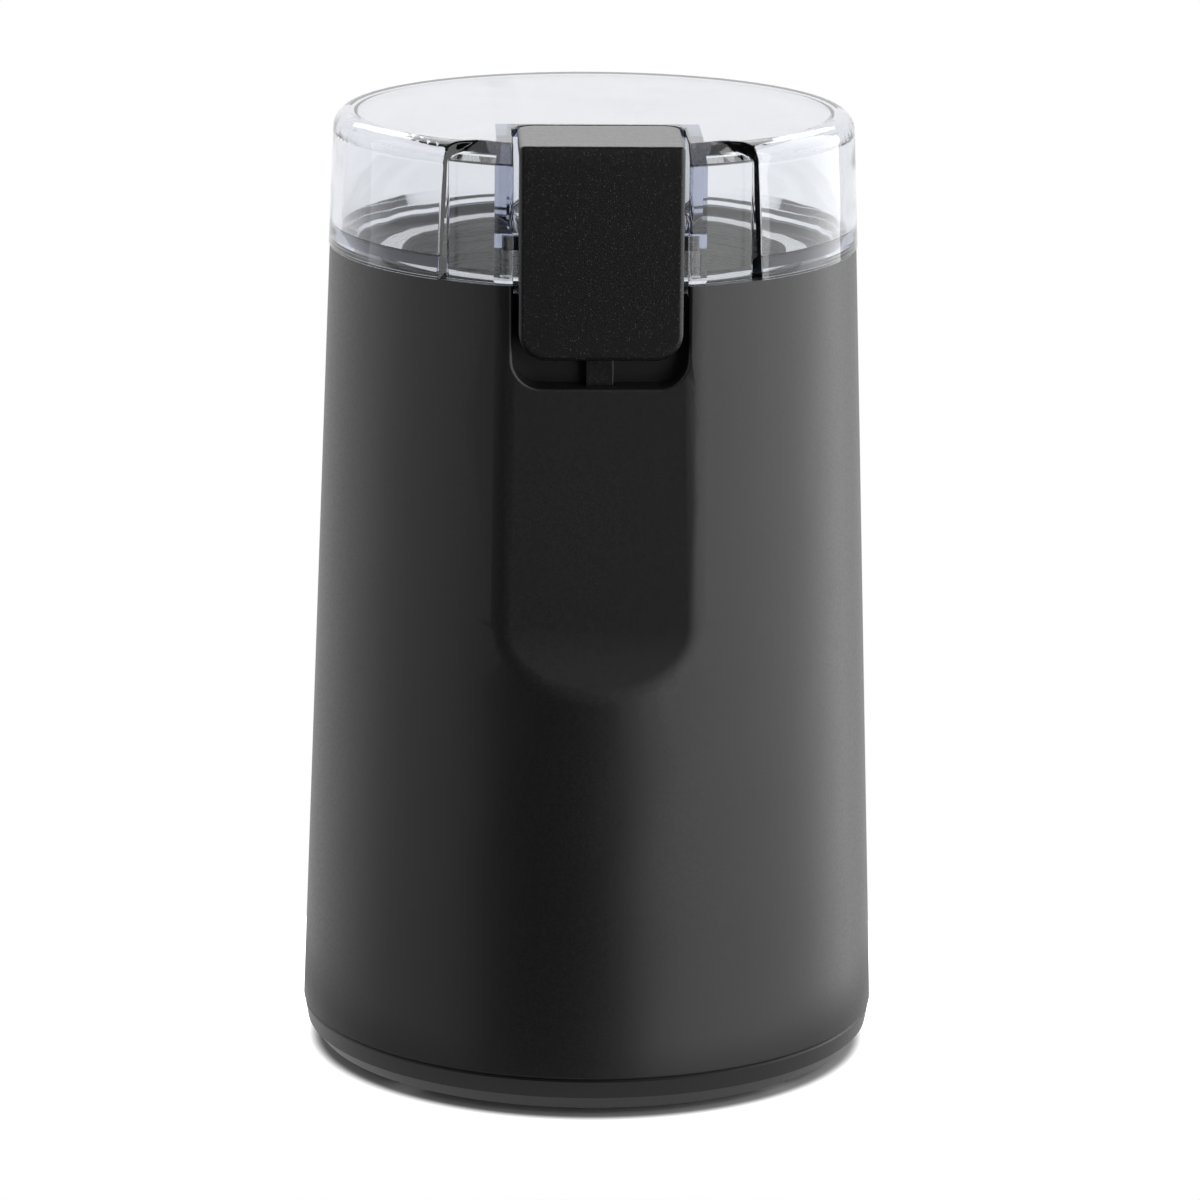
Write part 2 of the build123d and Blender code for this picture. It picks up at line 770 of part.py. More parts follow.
for bearing_name, bearing_z in (("upper_bearing", upper_bearing_z), ("lower_bearing", lower_bearing_z)):
    with BuildPart() as bearing:
        revolve(
            ring_profile(shaft_radius + bore_gap, bearing_radius, bearing_z, bearing_z + bearing_height),
            axis=Axis.Z,
        )
    write_piece(bearing.part, bearing_name)

with BuildPart() as motor_bolts:
    with BuildSketch(Plane.XY.offset(bracket_z)):
        with Locations((-bolt_x, 0), (bolt_x, 0)):
            Circle(bolt_head_radius)
    extrude(amount=bolt_head)
    with BuildSketch(Plane.XY.offset(bracket_z)):
        with Locations((-bolt_x, 0), (bolt_x, 0)):
            Circle(bolt_radius)
    extrude(amount=lower_plate_z - bolt_head - bracket_z)
write_piece(motor_bolts.part, "motor_bolts")

with BuildPart() as motor_nuts:
    with BuildSketch(Plane.XY.offset(lower_plate_z)):
        with Locations((-bolt_x, 0), (bolt_x, 0)):
            RegularPolygon(bolt_head_radius, 6)
            Circle(bolt_radius + bore_gap, mode=Mode.SUBTRACT)
    extrude(amount=-bolt_head)
write_piece(motor_nuts.part, "motor_nuts")

# Stator: laminated frame with two poles, and the two field coils round them
stator_bore = armature_radius + air_gap
coil_mid_y = coil_near + coil_depth / 2
coil_mid_x = coil_inner_width / 2 + coil_bar / 2
with BuildPart() as stator_core:
    with BuildSketch(Plane.XY.offset(stack_z)):
        RectangleRounded(bracket_width, stack_depth, stack_corner)
        Circle(stator_bore, mode=Mode.SUBTRACT)
        with GridLocations(2 * coil_mid_x, 2 * coil_mid_y, 2, 2):
            Rectangle(coil_bar + 2 * coil_gap, coil_depth + 2 * coil_gap, mode=Mode.SUBTRACT)
        with Locations((-bolt_x, 0), (bolt_x, 0)):
            Circle(bolt_radius + bore_gap, mode=Mode.SUBTRACT)
    extrude(amount=stack_height)
write_piece(stator_core.part, "stator_core")

with BuildPart() as field_coils:
    for side in (-1, 1):
        with BuildSketch(Plane.XZ.offset(side * coil_near)):
            with Locations((0, stack_z + stack_height / 2)):
                RectangleRounded(
                    coil_inner_width + 2 * coil_bar,
                    stack_height + 2 * coil_end,
                    coil_end,
                )
                Rectangle(coil_inner_width, stack_height, mode=Mode.SUBTRACT)
        extrude(amount=side * coil_depth)
write_piece(field_coils.part, "field_coils")

# Brush gear on the lower bracket
with BuildPart() as brush_holders:
    for side in (-1, 1):
        with BuildSketch(Plane.XZ.offset(side * holder_start)):
            with Locations((0, brush_z)):
                Rectangle(2 * holder_half, 2 * holder_half)
                Rectangle(brush_size + 2 * bore_gap, brush_size + 2 * bore_gap, mode=Mode.SUBTRACT)
        extrude(amount=side * holder_length)
        with BuildSketch(Plane.XZ.offset(side * (holder_start + holder_length))):
            with Locations((0, brush_z)):
                Rectangle(2 * holder_half, 2 * holder_half)
        extrude(amount=-side * holder_wall)
write_piece(brush_holders.part, "brush_holders")

brush_start = commutator_radius + slide_gap
brush_end = brush_start + brush_length
with BuildPart() as carbon_brushes:
    for side in (-1, 1):
        with BuildSketch(Plane.XZ.offset(side * brush_start)):
            with Locations((0, brush_z)):
                Rectangle(brush_size, brush_size)
        extrude(amount=side * brush_length)
write_piece(carbon_brushes.part, "carbon_brushes")

brush_spring_room = holder_start + holder_length - holder_wall - brush_end
brush_spring_length = brush_spring_room - brush_spring_wire - 2 * bore_gap
brush_coils = [
    spring_coil(
        (0, side * (brush_end + brush_spring_wire / 2 + bore_gap), brush_z),
        (0, side, 0),
        brush_spring_radius,
        brush_spring_wire,
        brush_spring_pitch,
        brush_spring_length,
    )
    for side in (-1, 1)
]
with BuildPart() as brush_springs:
    add(brush_coils)
write_piece(brush_springs.part, "brush_springs")

# Rotor: shaft, armature, commutator and fan
with BuildPart() as motor_shaft:
    with BuildSketch(Plane.XY.offset(shaft_z)):
        Circle(shaft_radius)
    extrude(amount=shaft_top_z - shaft_z)
write_piece(motor_shaft.part, "motor_shaft")

slot_circle = armature_radius - 2 * slot_radius
with BuildPart() as armature_core:
    with BuildSketch(Plane.XY.offset(stack_z)):
        Circle(armature_radius)
        Circle(shaft_radius + fit_gap, mode=Mode.SUBTRACT)
        with PolarLocations(slot_circle, slot_count):
            Circle(slot_radius, mode=Mode.SUBTRACT)
            Rectangle(
                3 * slot_radius, slot_mouth, align=(Align.MIN, Align.CENTER), mode=Mode.SUBTRACT
            )
    extrude(amount=stack_height)
write_piece(armature_core.part, "armature_core")

with BuildPart() as armature_winding:
    with BuildSketch(Plane.XY.offset(stack_z)):
        with PolarLocations(slot_circle, slot_count):
            Circle(slot_radius - winding_gap)
    extrude(amount=stack_height)
    revolve(
        ring_profile(winding_inner_radius, winding_outer_radius, stack_top_z, stack_top_z + winding_end),
        axis=Axis.Z,
    )
    revolve(
        ring_profile(winding_inner_radius, winding_outer_radius, stack_z - winding_end, stack_z),
        axis=Axis.Z,
    )
write_piece(armature_winding.part, "armature_winding")

with BuildPart() as commutator:
    revolve(
        ring_profile(shaft_radius + fit_gap, commutator_radius, commutator_z, commutator_top_z),
        axis=Axis.Z,
    )
    revolve(
        ring_profile(shaft_radius + fit_gap, winding_inner_radius - fit_gap, commutator_top_z, stack_z),
        axis=Axis.Z,
    )
    with BuildSketch(Plane.XY.offset(commutator_z)):
        with PolarLocations(commutator_radius, slot_count):
            Rectangle(2 * commutator_slit_depth, commutator_slit)
    extrude(amount=commutator_length, mode=Mode.SUBTRACT)
write_piece(commutator.part, "commutator")

with BuildPart() as cooling_fan:
    with BuildSketch(Plane.XY.offset(fan_z)):
        Circle(fan_radius)
    extrude(amount=fan_disc)
    with BuildSketch(Plane.XY.offset(fan_z)):
        Circle(fan_hub_radius)
    extrude(amount=fan_top_z - fan_z)
    with BuildSketch(Plane.XY.offset(fan_z)):
        with PolarLocations(fan_blade_start, fan_blade_count):
            Rectangle(
                fan_radius - fan_blade_start - fan_blade_thickness,
                fan_blade_thickness,
                align=(Align.MIN, Align.CENTER),
            )
    extrude(amount=fan_disc + fan_blade_height)
    with BuildSketch(Plane.XY.offset(fan_z)):
        Circle(shaft_radius + fit_gap)
    extrude(amount=fan_top_z - fan_z, mode=Mode.SUBTRACT)
write_piece(cooling_fan.part, "cooling_fan")

# Blade: bent steel strip with tapered wings, on its hub under a domed nut
with BuildPart() as blade_hub:
    revolve(ring_profile(shaft_radius + fit_gap, hub_radius, hub_z, blade_z), axis=Axis.Z)
write_piece(blade_hub.part, "blade_hub")

blade_bend = blade_radius * blade_bend_share
blade_side = blade_width / 2
with BuildSketch(Plane.XY.offset(blade_z)) as wing:
    with BuildLine():
        Polyline(
            (blade_radius, blade_side - blade_tip_width),
            (blade_bend, -blade_side),
            (0, -blade_side),
            (0, blade_side),
            (blade_bend, blade_side),
        )
        RadiusArc((blade_bend, blade_side), (blade_radius, blade_side - blade_tip_width), blade_radius)
    make_face()
with BuildPart() as blade:
    with BuildSketch(Plane.XZ):
        with BuildLine():
            Polyline(
                (-blade_radius, blade_z + blade_rise),
                (-blade_bend, blade_z),
                (blade_bend, blade_z),
                (blade_radius, blade_z + blade_rise),
                (blade_radius, blade_z + blade_rise + blade_thickness),
                (blade_bend, blade_z + blade_thickness),
                (-blade_bend, blade_z + blade_thickness),
                (-blade_radius, blade_z + blade_rise + blade_thickness),
                close=True,
            )
        make_face()
    extrude(amount=blade_width, both=True)
    with BuildSketch(Plane.XY.offset(blade_z)):
        Circle(blade_side)
        with PolarLocations(0, 2):
            add(wing.sketch_local)
    extrude(amount=blade_rise + blade_thickness, mode=Mode.INTERSECT)
    with BuildSketch(Plane.XY.offset(blade_z)):
        Circle(shaft_radius + fit_gap)
    extrude(amount=blade_thickness, mode=Mode.SUBTRACT)
write_piece(blade.part, "blade")

cap_flat = cap_nut_radius * cos(radians(30))
cap_rise = cap_nut_height - shaft_in_nut
with BuildPart() as blade_nut:
    with BuildSketch(Plane.XY.offset(cap_nut_z)):
        RegularPolygon(cap_nut_radius, 6)
    extrude(amount=shaft_in_nut)
    with BuildSketch(Plane.XZ):
        with BuildLine():
            Polyline(
                (cap_flat, cap_nut_z + shaft_in_nut),
                (0, cap_nut_z + shaft_in_nut),
                (0, cap_nut_z + cap_nut_height),
            )
            RadiusArc(
                (0, cap_nut_z + cap_nut_height),
                (cap_flat, cap_nut_z + shaft_in_nut),
                (cap_flat**2 + cap_rise**2) / (2 * cap_rise),
            )
        make_face()
    revolve(axis=Axis.Z)
    with BuildSketch(Plane.XY.offset(cap_nut_z)):
        Circle(shaft_radius + fit_gap)
    extrude(amount=shaft_in_nut, mode=Mode.SUBTRACT)
write_piece(blade_nut.part, "blade_nut")

# Switch behind the groove, with its plunger and return spring
with BuildPart() as switch_body:
    with BuildSketch(Plane.XZ.offset(switch_back)):
        with Locations((0, switch_mid_z)):
            Rectangle(switch_width, switch_height)
        with Locations((-switch_screw_spacing / 2, switch_mid_z), (switch_screw_spacing / 2, switch_mid_z)):
            Circle(small_screw_radius + bore_gap, mode=Mode.SUBTRACT)
    extrude(amount=switch_thickness)
    with BuildSketch(Plane.XY.offset(switch_top_z)):
        with Locations((0, -plunger_y)):
            Circle(plunger_stem_radius + bore_gap)
    extrude(amount=-plunger_stem_depth - key_travel - slide_gap, mode=Mode.SUBTRACT)
write_piece(switch_body.part, "switch_body")

with BuildPart() as switch_screws:
    with BuildSketch(Plane.XZ.offset(switch_back)):
        with Locations((-switch_screw_spacing / 2, switch_mid_z), (switch_screw_spacing / 2, switch_mid_z)):
            Circle(small_screw_head_radius)
    extrude(amount=-small_screw_head)
    with BuildSketch(Plane.XZ.offset(switch_back)):
        with Locations((-switch_screw_spacing / 2, switch_mid_z), (switch_screw_spacing / 2, switch_mid_z)):
            Circle(small_screw_radius)
    extrude(amount=switch_thickness + small_screw_grip)
write_piece(switch_screws.part, "switch_screws")

with BuildPart() as switch_terminals:
    with BuildSketch(Plane.XY.offset(switch_z)):
        with GridLocations(terminal_pitch, 0, 2, 1):
            with Locations((0, -(switch_front + switch_back) / 2)):
                Rectangle(terminal_width, terminal_thickness)
    extrude(amount=-terminal_length)
write_piece(switch_terminals.part, "switch_terminals")

with BuildPart() as switch_plunger:
    with BuildSketch(Plane.XY.offset(collar_z)):
        with Locations((0, -plunger_y)):
            Circle(plunger_collar_radius)
    extrude(amount=plunger_collar)
    with BuildSketch(Plane.XY.offset(collar_z)):
        with Locations((0, -plunger_y)):
            Circle(plunger_radius)
    extrude(amount=plunger_top_z - collar_z)
    with BuildSketch(Plane.XY.offset(collar_z)):
        with Locations((0, -plunger_y)):
            Circle(plunger_stem_radius)
    extrude(amount=-spring_length - plunger_stem_depth)
write_piece(switch_plunger.part, "switch_plunger")

spring_rise = spring_length - spring_wire - 2 * bore_gap
write_piece(
    spring_coil(
        (0, -plunger_y, switch_top_z + spring_wire / 2 + bore_gap),
        (0, 0, 1),
        spring_radius,
        spring_wire,
        spring_rise / spring_turns,
        spring_rise,
    ),
    "plunger_spring",
)

# Clear lid: turned cap, recessed front panels, and the well that the key slides in
lid_bottom_radius = shell_top_radius + lid_overhang
lid_inner_radius = lid_bottom_radius - lid_wall
lid_spigot_outer = shell_inner_radius(rim_z) - slide_gap
lid_spigot_inner = lid_spigot_outer - lid_spigot_wall
lid_ceiling_z = lid_top_z - lid_wall
lid_inner_top = lid_top_radius - lid_wall
panel_radius = lid_bottom_radius - panel_depth
panel_half_width = lid_bottom_radius * panel_width_share
panel_top_half_width = lid_bottom_radius * panel_top_width_share
panel_top_depth = lid_bottom_radius * panel_top_depth_share
panel_corner_y = sqrt(lid_bottom_radius**2 - panel_half_width**2)
panel_reach_share = 2.0
well_floor_z = lid_top_z - well_floor_drop
well_back = key_front - key_pad_depth - well_back_gap
key_guide_half = pocket_half + well_wall
lug_top_z = rim_z + lid_height * lug_top_share
window_bottom_z = lug_top_z - lug_height - key_travel - slide_gap


def panel_prism(reach, low, high):
    run_x = (panel_half_width - panel_top_half_width) * panel_reach_share
    run_y = (panel_corner_y - panel_top_depth) * panel_reach_share
    with BuildPart() as prism:
        with BuildSketch(Plane.XY.offset(low)):
            with BuildLine():
                Polyline(
                    (-panel_top_half_width, -panel_top_depth + reach),
                    (panel_top_half_width, -panel_top_depth + reach),
                    (panel_half_width + run_x, -panel_corner_y - run_y + reach),
                    (panel_half_width + run_x, -lid_bottom_radius - cut_overrun),
                    (-panel_half_width - run_x, -lid_bottom_radius - cut_overrun),
                    (-panel_half_width - run_x, -panel_corner_y - run_y + reach),
                    close=True,
                )
            make_face()
        extrude(amount=high - low)
    return prism.part


recess_prism = panel_prism(0, rim_z - lid_spigot_length - cut_overrun, lid_top_z + cut_overrun)
backing_prism = panel_prism(lid_wall, rim_z, lid_ceiling_z)
with BuildPart() as panel_recess:
    revolve(
        turned_profile(
            (panel_radius, rim_z - lid_spigot_length - cut_overrun),
            (lid_bottom_radius + cut_overrun, rim_z - lid_spigot_length - cut_overrun),
            (lid_bottom_radius + cut_overrun, lid_top_z),
            (panel_radius - panel_bevel_run, lid_top_z),
            (panel_radius, lid_top_z - panel_bevel_height),
        ),
        axis=Axis.Z,
    )
    add(recess_prism, mode=Mode.INTERSECT)

with BuildPart() as panel_backing:
    revolve(
        ring_profile(panel_radius - lid_wall, lid_bottom_radius, rim_z, lid_ceiling_z),
        axis=Axis.Z,
    )
    add(backing_prism, mode=Mode.INTERSECT)

with BuildPart() as lid_cavity:
    with BuildSketch(Plane.XZ):
        with BuildLine():
            Polyline(
                (lid_inner_top - lid_inner_round, lid_ceiling_z),
                (0, lid_ceiling_z),
                (0, rim_z - lid_spigot_length),
                (lid_spigot_inner, rim_z - lid_spigot_length),
                (lid_spigot_inner, rim_z + lid_rim_height / 2),
                (lid_inner_radius, rim_z + lid_rim_height + lid_rim_height / 2),
                (lid_inner_top, lid_ceiling_z - lid_inner_round),
            )
            RadiusArc(
                (lid_inner_top, lid_ceiling_z - lid_inner_round),
                (lid_inner_top - lid_inner_round, lid_ceiling_z),
                -lid_inner_round,
            )
        make_face()
    revolve(axis=Axis.Z)
    add(panel_backing.part, mode=Mode.SUBTRACT)
    with BuildSketch(Plane.XZ.offset(well_back - well_wall)):
        with Locations((0, well_floor_z - well_floor)):
            Rectangle(
                2 * key_guide_half,
                lid_top_z - well_floor_z + well_floor,
                align=(Align.CENTER, Align.MIN),
            )
    extrude(amount=lid_bottom_radius, mode=Mode.SUBTRACT)
    with BuildSketch(Plane.XZ.offset(pocket_back - pocket_wall)):
        with Locations((0, rim_z)):
            Rectangle(
                2 * key_guide_half,
                well_floor_z - rim_z,
                align=(Align.CENTER, Align.MIN),
            )
    extrude(amount=lid_bottom_radius, mode=Mode.SUBTRACT)

with BuildPart() as lid:
    with BuildSketch(Plane.XZ):
        with BuildLine():
            Polyline(
                (0, lid_top_z),
                (0, rim_z - lid_spigot_length),
                (lid_spigot_outer, rim_z - lid_spigot_length),
                (lid_spigot_outer, rim_z),
                (lid_bottom_radius, rim_z),
                (lid_top_radius, lid_top_z - lid_shoulder),
            )
            RadiusArc(
                (lid_top_radius, lid_top_z - lid_shoulder),
                (lid_top_radius - lid_shoulder, lid_top_z),
                -lid_shoulder,
            )
            Line((lid_top_radius - lid_shoulder, lid_top_z), (0, lid_top_z))
        make_face()
    revolve(axis=Axis.Z)
    add(lid_cavity.part, mode=Mode.SUBTRACT)
    with BuildSketch(Plane.XZ.offset(well_back)):
        with Locations((0, well_floor_z)):
            RectangleRounded(
                2 * pocket_half,
                well_floor_drop + 2 * cut_overrun,
                well_corner,
                align=(Align.CENTER, Align.MIN),
            )
    extrude(amount=lid_bottom_radius, mode=Mode.SUBTRACT)
    with BuildSketch(Plane.XZ.offset(pocket_back)):
        with Locations((0, rim_z - cut_overrun)):
            Rectangle(
                2 * pocket_half,
                lid_height + cut_overrun,
                align=(Align.CENTER, Align.MIN),
            )
    extrude(amount=lid_bottom_radius, mode=Mode.SUBTRACT)
    well_uprights = lid.edges().filter_by(Axis.Z)
    fillet(well_uprights.filter_by_position(Axis.Y, -well_back, -well_back), radius=well_back_corner)
    add(panel_recess.part, mode=Mode.SUBTRACT)
    lid_edges = lid.edges(Select.LAST) + lid.faces().sort_by(Axis.Z)[-1].edges()
    lid_edges = lid_edges.filter_by_position(Axis.Z, rim_z + lid_edge_round, lid_top_z)
    fillet(lid_edges.filter_by_position(Axis.Y, -lid_bottom_radius, 0), radius=lid_edge_round)
    with BuildSketch(Plane.XY.offset(rim_z)):
        with Locations((0, -lid_bottom_radius)):
            Rectangle(2 * key_guide_half, 2 * (lid_bottom_radius - pocket_back + pocket_wall + seat_gap))
    extrude(amount=-lid_spigot_length, mode=Mode.SUBTRACT)
    with BuildSketch(Plane.XY.offset(window_bottom_z)):
        with Locations((0, slide_gap - key_skirt_back)):
            Rectangle(
                2 * (key_guide_half - window_skin),
                lug_depth + 2 * slide_gap,
                align=(Align.CENTER, Align.MAX),
            )
    extrude(amount=lug_top_z + slide_gap - window_bottom_z, mode=Mode.SUBTRACT)
write_piece(lid.part, "lid")

# Press key: pad on the lid's top, apron down the front, tongue into the shell's ledge
key_underside_z = key_top_z - key_pad_thickness
key_pad_back = key_front - key_pad_depth
key_brow_z = key_top_z - key_brow_height
with BuildPart() as press_key:
    with BuildSketch(Plane.XY.offset(key_underside_z)) as pad_outline:
        with Locations((0, -key_front)):
            Rectangle(key_width, key_pad_depth, align=(Align.CENTER, Align.MIN))
        fillet(pad_outline.vertices().group_by(Axis.Y)[-1], radius=key_pad_corner)
    extrude(amount=key_pad_thickness)
    with BuildSketch(Plane.XZ.offset(key_apron_back)) as apron_outline:
        with Locations((0, key_bottom_z)):
            Rectangle(key_width, key_apron_height, align=(Align.CENTER, Align.MIN))
        fillet(apron_outline.vertices().group_by(Axis.Y)[0], radius=key_apron_corner)
    extrude(amount=key_apron_thickness)
    with BuildSketch(Plane.YZ):
        with BuildLine():
            Polyline(
                (-key_front, key_brow_z),
                (-key_front, key_top_z),
                (key_brow_depth - key_front, key_top_z),
                close=True,
            )
        make_face()
    extrude(amount=key_width / 2, both=True, mode=Mode.SUBTRACT)
    front_faces = press_key.faces().sort_by(Axis.Y)[:2]
    front_edges = front_faces[0].edges() + front_faces[1].edges()
    brow_line = front_edges.filter_by_position(Axis.Z, key_brow_z, key_brow_z)
    top_edges = press_key.faces().sort_by(Axis.Z)[-1].edges()
    fillet(set(top_edges + front_edges) - set(brow_line), radius=key_edge_round)
    with BuildSketch(Plane.XY.offset(key_underside_z)):
        with GridLocations(key_width - key_skirt_thickness, 0, 2, 1):
            with Locations((0, -key_apron_back)):
                Rectangle(
                    key_skirt_thickness,
                    key_apron_back - key_skirt_back,
                    align=(Align.CENTER, Align.MIN),
                )
    extrude(amount=key_apron_corner + key_pad_thickness - key_apron_height)
    with BuildSketch(Plane.YZ):
        with BuildLine():
            Polyline(
                (-tongue_front, tongue_tip_z),
                (-tongue_back, tongue_tip_z),
                (-tongue_back, key_underside_z - key_gusset_height),
                (-key_pad_back - key_pad_corner, key_underside_z),
                (-key_apron_back, key_underside_z),
                (-key_apron_back, key_bottom_z + key_apron_corner),
                (-tongue_front, key_bottom_z + key_apron_corner),
                close=True,
            )
        make_face()
    extrude(amount=tongue_width / 2, both=True)
    with BuildSketch(Plane.XY.offset(lug_top_z)):
        with GridLocations(key_width + lug_reach, 0, 2, 1):
            with Locations((0, -key_skirt_back)):
                Rectangle(lug_reach, lug_depth, align=(Align.CENTER, Align.MAX))
    extrude(amount=-lug_height)
write_piece(press_key.part, "press_key")
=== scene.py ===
from math import cos, pi, radians, sin

import bmesh
import bpy
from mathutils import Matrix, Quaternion, Vector


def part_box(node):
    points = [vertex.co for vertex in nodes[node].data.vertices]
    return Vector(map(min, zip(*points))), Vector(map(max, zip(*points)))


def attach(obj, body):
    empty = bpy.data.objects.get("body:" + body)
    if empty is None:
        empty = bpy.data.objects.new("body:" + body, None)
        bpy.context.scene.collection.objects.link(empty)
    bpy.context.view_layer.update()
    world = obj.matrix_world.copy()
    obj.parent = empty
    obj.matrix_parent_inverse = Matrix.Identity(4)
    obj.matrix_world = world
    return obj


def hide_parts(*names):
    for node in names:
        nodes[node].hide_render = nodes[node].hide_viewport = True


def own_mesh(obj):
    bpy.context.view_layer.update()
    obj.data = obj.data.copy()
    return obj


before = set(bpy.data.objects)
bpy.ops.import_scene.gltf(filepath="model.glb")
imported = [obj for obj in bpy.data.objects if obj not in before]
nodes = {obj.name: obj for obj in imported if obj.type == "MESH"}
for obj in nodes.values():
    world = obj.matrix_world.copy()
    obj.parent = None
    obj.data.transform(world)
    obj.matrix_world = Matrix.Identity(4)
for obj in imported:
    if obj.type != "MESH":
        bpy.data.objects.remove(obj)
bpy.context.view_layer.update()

scene = bpy.context.scene
print("frame loaded,", len(nodes), "nodes")


# small helpers for colours and nodes
def hexToLinear(text):
    channels = [int(text[i:i + 2], 16) / 255 for i in (1, 3, 5)]
    return [c / 12.92 if c <= 0.04045 else ((c + 0.055) / 1.055) ** 2.4 for c in channels] + [1.0]


def addNode(tree, kind, links=None, **settings):
    node = tree.nodes.new(kind)
    for name, value in settings.items():
        setattr(node, name, value)
    for socket, source in (links or {}).items():
        if isinstance(source, bpy.types.NodeSocket):
            tree.links.new(source, node.inputs[socket])
        else:
            node.inputs[socket].default_value = source
    return node


def startMaterial(name, colour, **sockets):
    material = bpy.data.materials.new(name)
    material.use_nodes = True
    tree = material.node_tree
    shader = tree.nodes["Principled BSDF"]
    shader.inputs["Base Color"].default_value = hexToLinear(colour)
    for socket, value in sockets.items():
        shader.inputs[socket.replace("_", " ")].default_value = value
    place = addNode(tree, "ShaderNodeTexCoord").outputs["Object"]
    return material, tree, shader, place


# sheen and relief follow one pattern, and a tint of two tones follows it too, or one of its own
def dressSurface(tree, shader, pattern, look, tintBy=None):
    lowest, highest = look.get("spread", (0.0, 1.0))
    sheen = addNode(tree, "ShaderNodeMapRange", {"Value": pattern, "From Min": lowest, "From Max": highest,
                    "To Min": look["roughness"][0], "To Max": look["roughness"][1]})
    relief = addNode(tree, "ShaderNodeBump", {"Height": pattern, "Strength": look["bump"],
                     "Distance": look["depthMm"] / 1000})
    tree.links.new(sheen.outputs["Result"], shader.inputs["Roughness"])
    tree.links.new(relief.outputs["Normal"], shader.inputs["Normal"])
    if "tones" in look:
        tint = addNode(tree, "ShaderNodeMix", {"Factor": tintBy or pattern, "A": hexToLinear(look["tones"][0]),
                       "B": hexToLinear(look["tones"][1])}, data_type="RGBA")
        tree.links.new(tint.outputs["Result"], shader.inputs["Base Color"])
    return relief


# ABS, moulded in a spark-eroded tool: near black, with a satin sheen and a very fine pebble
blackAbs = {"tones": ("#121412", "#171917"), "cloudMm": 30,
            "grainMm": 0.45,  # usually finer, drawn coarse enough to show
            "roughness": (0.36, 0.45), "spread": (0.3, 0.7), "bump": 0.10, "depthMm": 0.06}
satinAbs, tree, shader, place = startMaterial("satinMouldedAbs", blackAbs["tones"][0], IOR=1.54)
grain = addNode(tree, "ShaderNodeTexNoise", {"Vector": place, "Scale": 1000 / blackAbs["grainMm"],
                "Detail": 3.0})
cloud = addNode(tree, "ShaderNodeTexNoise", {"Vector": place, "Scale": 1000 / blackAbs["cloudMm"],
                "Detail": 2.0})
dressSurface(tree, shader, grain.outputs["Fac"], blackAbs, tintBy=cloud.outputs["Fac"])

# ABS of the key, deeper spark texture: its pebbles catch the light as single specks, drawn as painted glints,
# pale dots in its colour
keyAbs = {"tones": ("#0d0d0e", "#565659"), "rarity": (0.60, 1.0), "speckReach": (0.18, 0.34),
          "grainMm": 0.32,  # usually finer, drawn coarse enough to show
          "roughness": (0.31, 0.42), "spread": (0.3, 0.7), "bump": 0.30, "depthMm": 0.08, "edgeMm": 0.35}
speckledAbs, tree, shader, place = startMaterial("speckledMouldedAbs", keyAbs["tones"][0], IOR=1.54)
cells = addNode(tree, "ShaderNodeTexVoronoi", {"Vector": place, "Scale": 1000 / keyAbs["grainMm"]})
pick = addNode(tree, "ShaderNodeSeparateColor", {"Color": cells.outputs["Color"]})
rare = addNode(tree, "ShaderNodeMapRange", {"Value": pick.outputs["Red"], "From Min": keyAbs["rarity"][0],
               "From Max": keyAbs["rarity"][1]})
core = addNode(tree, "ShaderNodeMapRange", {"Value": cells.outputs["Distance"],
               "From Min": keyAbs["speckReach"][0], "From Max": keyAbs["speckReach"][1],
               "To Min": 1.0, "To Max": 0.0})
# painted glints: a few cells turn the key's colour paler, standing in for pebbles that catch the light
paintedGlint = addNode(tree, "ShaderNodeMath", {0: rare.outputs["Result"], 1: core.outputs["Result"]},
                operation="MULTIPLY")
grain = addNode(tree, "ShaderNodeTexNoise", {"Vector": place, "Scale": 1000 / keyAbs["grainMm"], "Detail": 3.0})
relief = dressSurface(tree, shader, grain.outputs["Fac"], keyAbs, tintBy=paintedGlint.outputs["Value"])
edge = addNode(tree, "ShaderNodeBevel", {"Radius": keyAbs["edgeMm"] / 1000}, samples=6)
tree.links.new(edge.outputs["Normal"], relief.inputs["Normal"])

# SAN, moulded in a polished tool: water clear, faintly blue through its thick edges
clearSan = {"colour": "#fbfcfd", "flowMm": 18, "roughness": (0.01, 0.04), "spread": (0.3, 0.7), "bump": 0.03,
            "depthMm": 0.5, "lampTint": "#e8eef5", "inside": "#dde0e9", "lossPerMetre": 130}
clearLid, tree, shader, place = startMaterial("polishedClearSan", clearSan["colour"], IOR=1.57,
                                              Transmission_Weight=1.0)
flow = addNode(tree, "ShaderNodeTexNoise", {"Vector": place, "Scale": 1000 / clearSan["flowMm"], "Detail": 1.0})
dressSurface(tree, shader, flow.outputs["Fac"], clearSan)
# light goes straight on through the clear wall, so the bowl isn't left in the dark
rays = addNode(tree, "ShaderNodeLightPath")
through = addNode(tree, "ShaderNodeBsdfTransparent", {"Color": hexToLinear(clearSan["lampTint"])})
blend = addNode(tree, "ShaderNodeMixShader", {0: rays.outputs["Is Shadow Ray"], 1: shader.outputs["BSDF"],
                2: through.outputs["BSDF"]})
tree.links.new(blend.outputs["Shader"], tree.nodes["Material Output"].inputs["Surface"])
# the longer the way through the plastic, the bluer and darker it looks
thick = addNode(tree, "ShaderNodeVolumeAbsorption", {"Color": hexToLinear(clearSan["inside"]),
                "Density": clearSan["lossPerMetre"]})
tree.links.new(thick.outputs["Volume"], tree.nodes["Material Output"].inputs["Volume"])

